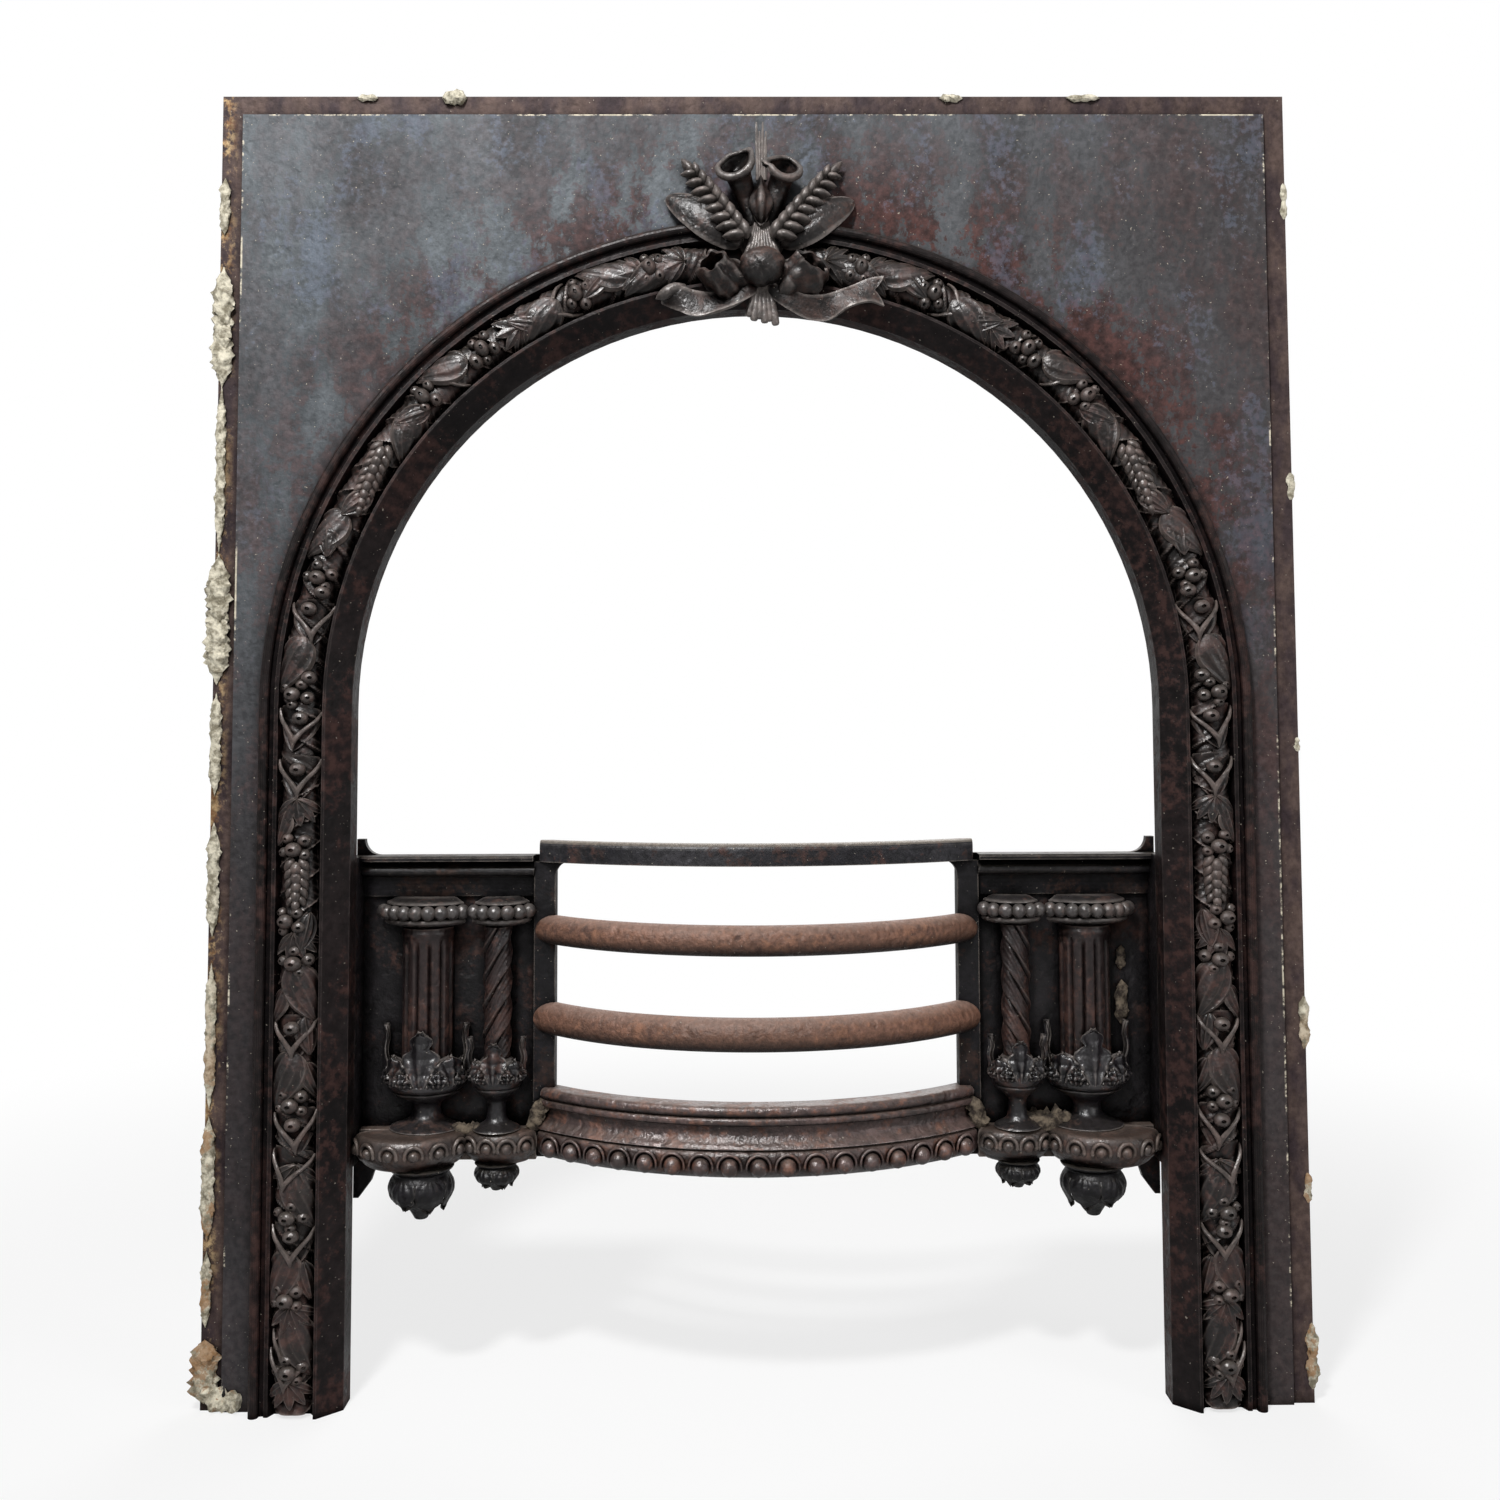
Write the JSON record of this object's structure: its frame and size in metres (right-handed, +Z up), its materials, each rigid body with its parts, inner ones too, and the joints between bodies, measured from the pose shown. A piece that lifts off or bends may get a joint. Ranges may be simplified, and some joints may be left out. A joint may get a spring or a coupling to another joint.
{
  "type": "cast iron fireplace",
  "caption": "Arched cast iron fireplace front with a garlanded moulding, a wheat and ribbon crest, a bowed barred grate and ornamented hobs.",
  "frame": {"origin": "on the hearth, under the middle of the whole part's box", "axes": "+Z up, -Y out of the face plate into the room, +X to the right as seen from the room"},
  "size_m": [0.802, 0.0925, 0.965],
  "materials": {
    "face_plate_iron": "old blackleaded casting, blue grey with rust stains",
    "moulding_iron": "old blackleaded casting, near black with brown arrises",
    "garland_iron": "old blackleaded casting, brown rust in the hollows",
    "crest_iron": "old blackleaded casting, brown rust on the edges",
    "hob_iron": "old blackleaded casting, dusty, with rust",
    "grate_iron": "burnt casting, grey",
    "bar_iron": "burnt casting, even orange brown rust",
    "fastener_iron": "wrought iron, dull brown"
  },
  "bodies": {
    "root": {"fascia_plate": "face_plate_iron", "arch_moulding": "moulding_iron", "garland_left": "garland_iron", "garland_right": "garland_iron", "crest": "crest_iron", "hob_panel_left": "hob_iron", "hob_panel_right": "hob_iron", "hob_cornice_left": "hob_iron", "hob_cornice_right": "hob_iron", "beaded_capital_left": "hob_iron", "beaded_capital_right": "hob_iron", "fluted_column_left": "hob_iron", "fluted_column_right": "hob_iron", "twisted_column_left": "hob_iron", "twisted_column_right": "hob_iron", "large_cup_left": "hob_iron", "large_cup_right": "hob_iron", "small_cup_left": "hob_iron", "small_cup_right": "hob_iron", "beaded_shelf_left": "hob_iron", "beaded_shelf_right": "hob_iron", "large_pendant_left": "hob_iron", "large_pendant_right": "hob_iron", "small_pendant_left": "hob_iron", "small_pendant_right": "hob_iron", "grate_stile_left": "grate_iron", "grate_stile_right": "grate_iron", "top_rail": "grate_iron", "upper_bar": "bar_iron", "lower_bar": "bar_iron", "bottom_rail": "bar_iron", "bar_pins": "fastener_iron", "rail_dowels": "fastener_iron", "hob_rivets": "fastener_iron", "pendant_screws": "fastener_iron", "hob_bolts": "fastener_iron", "garland_rivets": "fastener_iron", "crest_screws": "fastener_iron", "wall_lug_upper_left": "fastener_iron", "wall_lug_upper_right": "fastener_iron", "wall_lug_lower_left": "fastener_iron", "wall_lug_lower_right": "fastener_iron", "lug_screws": "fastener_iron"}
  },
  "joints": []
}
